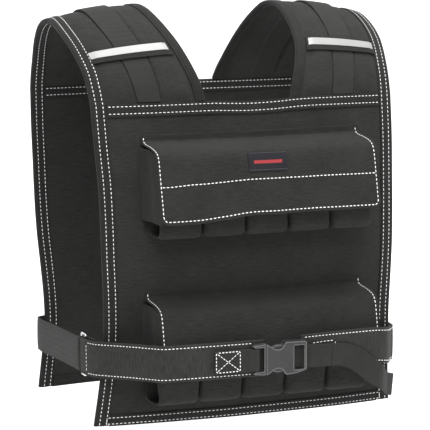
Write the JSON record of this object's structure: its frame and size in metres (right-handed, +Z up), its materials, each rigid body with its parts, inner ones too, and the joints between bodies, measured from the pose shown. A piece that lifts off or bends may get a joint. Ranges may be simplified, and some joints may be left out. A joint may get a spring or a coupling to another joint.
{
  "type": "weighted vest",
  "caption": "Sleeveless training vest with open sides, wide shoulder straps, covered pouch rows on the front, a belt with a side-release buckle and a wire ring.",
  "frame": {"origin": "midway between the two shoulder straps, at the height of their undersides where they lie on the shoulders", "axes": "+Z up, front of the vest towards -Y, wearer's left towards +X"},
  "size_m": [0.3708, 0.3291, 0.444],
  "materials": {
    "cloth": "matte woven polyester, charcoal",
    "binding_tape": "matte woven tape, near black, white topstitching",
    "webbing": "ribbed woven webbing, charcoal",
    "grey_webbing": "ribbed woven webbing, grey",
    "reflective": "smooth silver-white reflective tape",
    "label": "blank woven patch with a plain red stripe",
    "plastic": "satin moulded grey plastic",
    "chrome": "polished steel wire"
  },
  "bodies": {
    "root": {"front_panel": "cloth", "back_panel": "cloth", "right_strap": "cloth", "right_edge_binding": "binding_tape", "right_neck_binding": "binding_tape", "right_strap_webbing": "webbing", "right_cross_band": "binding_tape", "right_reflective_strip": "reflective", "right_upper_gusset": "cloth", "right_lower_gusset": "cloth", "left_strap": "cloth", "left_edge_binding": "binding_tape", "left_neck_binding": "binding_tape", "left_strap_webbing": "webbing", "left_cross_band": "binding_tape", "left_reflective_strip": "reflective", "left_upper_gusset": "cloth", "left_lower_gusset": "cloth", "front_hem": "binding_tape", "front_top_band": "binding_tape", "back_hem": "binding_tape", "back_top_band": "binding_tape", "upper_flap": "cloth", "upper_pouch_1": "cloth", "upper_pouch_2": "cloth", "upper_pouch_3": "cloth", "upper_pouch_4": "cloth", "upper_pouch_5": "cloth", "lower_flap": "cloth", "lower_pouch_1": "cloth", "lower_pouch_2": "cloth", "lower_pouch_3": "cloth", "lower_pouch_4": "cloth", "lower_pouch_5": "cloth", "label_patch": "label", "belt_left": "webbing", "belt_right": "webbing", "belt_back": "grey_webbing", "side_ring": "chrome", "buckle_socket": "plastic", "buckle_plug": "plastic", "buckle_webbing": "webbing", "webbing_tail": "webbing"}
  },
  "joints": []
}
